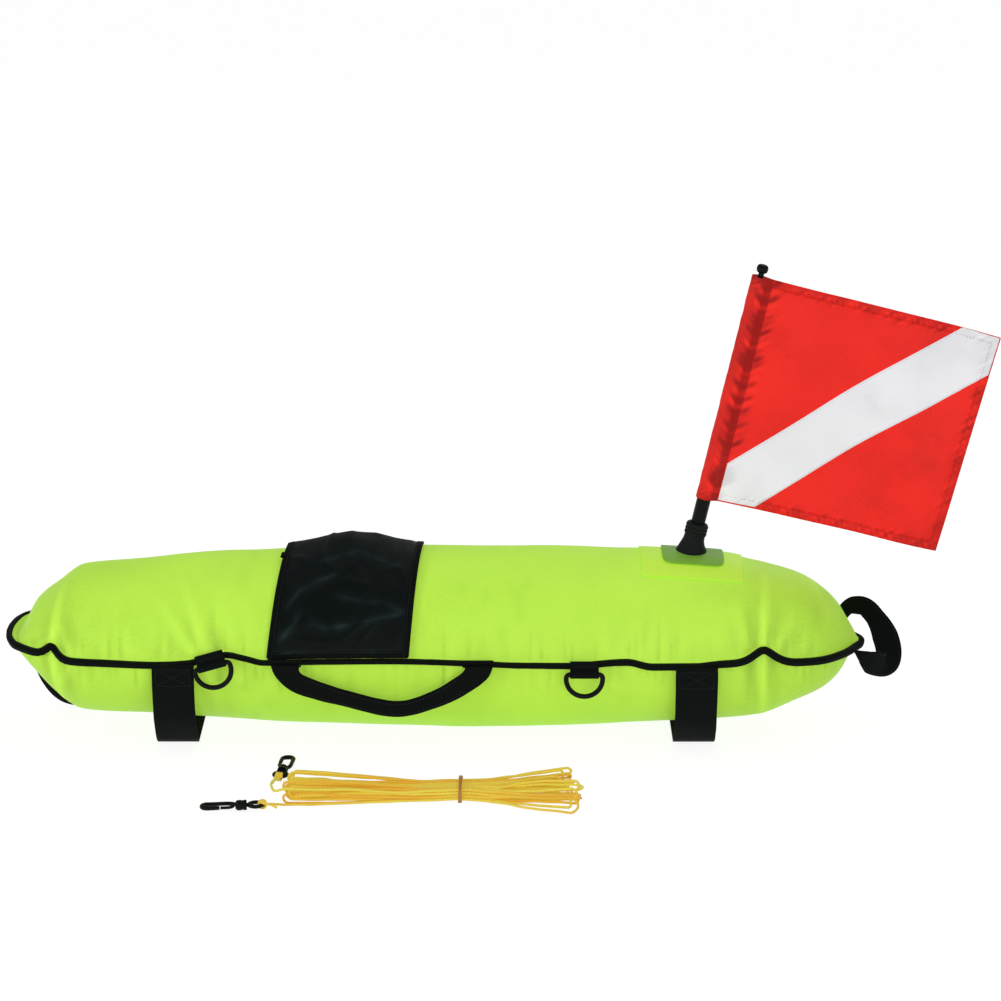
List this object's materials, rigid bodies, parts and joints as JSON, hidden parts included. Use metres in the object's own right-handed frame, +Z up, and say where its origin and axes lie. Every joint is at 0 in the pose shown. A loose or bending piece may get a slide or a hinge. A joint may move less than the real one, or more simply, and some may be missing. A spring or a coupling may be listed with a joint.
{
  "type": "dive flag float",
  "caption": "Inflatable torpedo dive float with a valve flap, carry and end handles, D-rings, gear straps, a plug-in flag on a pole and a tied line with snap clips.",
  "frame": {"origin": "on the floor under the middle of the outer box of the float with its flag", "axes": "+X along the float towards the flag, +Y across it away from the carry handle, +Z up"},
  "size_m": [1.1905, 0.4495, 0.5704],
  "materials": {
    "nylon_green": "coated woven nylon, satin",
    "coated_patch": "coated patch, satin",
    "bladder_film": "smooth film",
    "black_nylon": "black nylon, slight sheen",
    "black_webbing": "woven webbing, matte",
    "black_plastic": "moulded, satin",
    "black_rubber": "matte",
    "red_nylon": "woven flag nylon",
    "white_nylon": "woven nylon",
    "yellow_rope": "braided cord",
    "band_rubber": "matte"
  },
  "bodies": {
    "float": {"cover_top": "nylon_green", "cover_bottom": "nylon_green", "seam_binding": "black_webbing", "bladder": "bladder_film", "window_patch": "nylon_green", "socket_base_patch": "coated_patch", "flag_socket": "black_rubber", "gear_strap_left": "black_webbing", "gear_strap_right": "black_webbing", "d_ring_tab_front_left": "black_webbing", "d_ring_tab_front_right": "black_webbing", "d_ring_tab_rear_left": "black_webbing", "d_ring_tab_rear_right": "black_webbing", "flap_loop_tape": "black_webbing", "valve_flange": "black_plastic", "valve_stem": "black_plastic"},
    "flap": {"valve_flap": "black_nylon", "flap_hook_tape": "black_webbing"},
    "mouthpiece": {"valve_mouthpiece": "black_plastic"},
    "mast": {"flag_pole": "black_plastic", "pole_cap": "black_plastic"},
    "flag": {"flag_cloth": "red_nylon", "stripe_front": "white_nylon", "stripe_rear": "white_nylon", "flag_top_rod": "black_plastic"},
    "carry_handle": {"carry_handle": "black_webbing"},
    "right_handle": {"end_handle_right": "black_webbing"},
    "left_handle": {"end_handle_left": "black_webbing"},
    "ring_front_left": {"d_ring_front_left": "black_plastic"},
    "ring_front_right": {"d_ring_front_right": "black_plastic"},
    "ring_rear_left": {"d_ring_rear_left": "black_plastic"},
    "ring_rear_right": {"d_ring_rear_right": "black_plastic"},
    "line": {"float_line": "yellow_rope", "line_band": "band_rubber", "clip_eye_a": "black_plastic", "clip_eye_b": "black_plastic"},
    "hook_a": {"clip_hook_a": "black_plastic"},
    "gate_a": {"clip_gate_a": "black_plastic"},
    "hook_b": {"clip_hook_b": "black_plastic"},
    "gate_b": {"clip_gate_b": "black_plastic"}
  },
  "joints": [
    {"name": "flap_hinge", "type": "hinge", "parent": "float", "child": "flap", "pos_m": [-0.1765, 0.03831, 0.21477], "axis": [-0.9997, 0, -0.0257], "range_deg": [0, 100]},
    {"name": "mouthpiece_press", "type": "slide", "parent": "float", "child": "mouthpiece", "axis": [0, 0, 1], "range_m": [-0.003, 0], "stiffness_N_per_m": 200, "springref_m": 0.001},
    {"name": "pole_pull", "type": "slide", "parent": "float", "child": "mast", "axis": [0.225, 0, 0.9744], "range_m": [0, 0.06]},
    {"name": "flag_turn", "type": "hinge", "parent": "mast", "child": "flag", "pos_m": [0.24438, 0, 0.28504], "axis": [0.225, 0, 0.9744], "continuous": true},
    {"name": "carry_handle_swing", "type": "hinge", "parent": "float", "child": "carry_handle", "pos_m": [-0.1424, -0.12046, 0.11337], "axis": [-1, 0, 0], "range_deg": [0, 120]},
    {"name": "right_handle_swing", "type": "hinge", "parent": "float", "child": "right_handle", "pos_m": [0.41896, 0.01061, 0.10524], "axis": [0.135, -0.9908, 0.0001], "range_deg": [-30, 28]},
    {"name": "left_handle_swing", "type": "hinge", "parent": "float", "child": "left_handle", "pos_m": [-0.52322, 0.09591, 0.11396], "axis": [0.9436, 0.3203, -0.084], "range_deg": [0, 50]},
    {"name": "ring_front_left_swing", "type": "hinge", "parent": "float", "child": "ring_front_left", "pos_m": [-0.3405, -0.12365, 0.11324], "axis": [-0.9613, 0, -0.2756], "range_deg": [0, 150]},
    {"name": "ring_front_right_swing", "type": "hinge", "parent": "float", "child": "ring_front_right", "pos_m": [0.099, -0.12431, 0.10267], "axis": [-1, 0, 0], "range_deg": [0, 150]},
    {"name": "ring_rear_left_swing", "type": "hinge", "parent": "float", "child": "ring_rear_left", "pos_m": [-0.3405, 0.12365, 0.11324], "axis": [0.9613, 0, 0.2756], "range_deg": [0, 150]},
    {"name": "ring_rear_right_swing", "type": "hinge", "parent": "float", "child": "ring_rear_right", "pos_m": [0.099, 0.12431, 0.10267], "axis": [1, 0, 0], "range_deg": [0, 150]},
    {"name": "line_lift", "type": "slide", "parent": "float", "child": "line", "axis": [0, 0, 1], "range_m": [0, 0.1]},
    {"name": "clip_a_swivel", "type": "hinge", "parent": "line", "child": "hook_a", "pos_m": [-0.28825, -0.30633, 0.0062], "axis": [-0.9929, -0.1191, 0], "continuous": true},
    {"name": "clip_a_gate", "type": "hinge", "parent": "hook_a", "child": "gate_a", "pos_m": [-0.3032, -0.31102, 0.0062], "axis": [0, 0, -1], "range_deg": [0, 18], "stiffness_Nm_per_rad": 0.01, "springref_deg": -5.73},
    {"name": "clip_b_swivel", "type": "hinge", "parent": "line", "child": "hook_b", "pos_m": [-0.25517, -0.1931, 0.0062], "axis": [0.0995, 0.995, 0], "continuous": true},
    {"name": "clip_b_gate", "type": "hinge", "parent": "hook_b", "child": "gate_b", "pos_m": [-0.2565, -0.17749, 0.0062], "axis": [0, 0, -1], "range_deg": [0, 18], "stiffness_Nm_per_rad": 0.01, "springref_deg": -5.73}
  ]
}
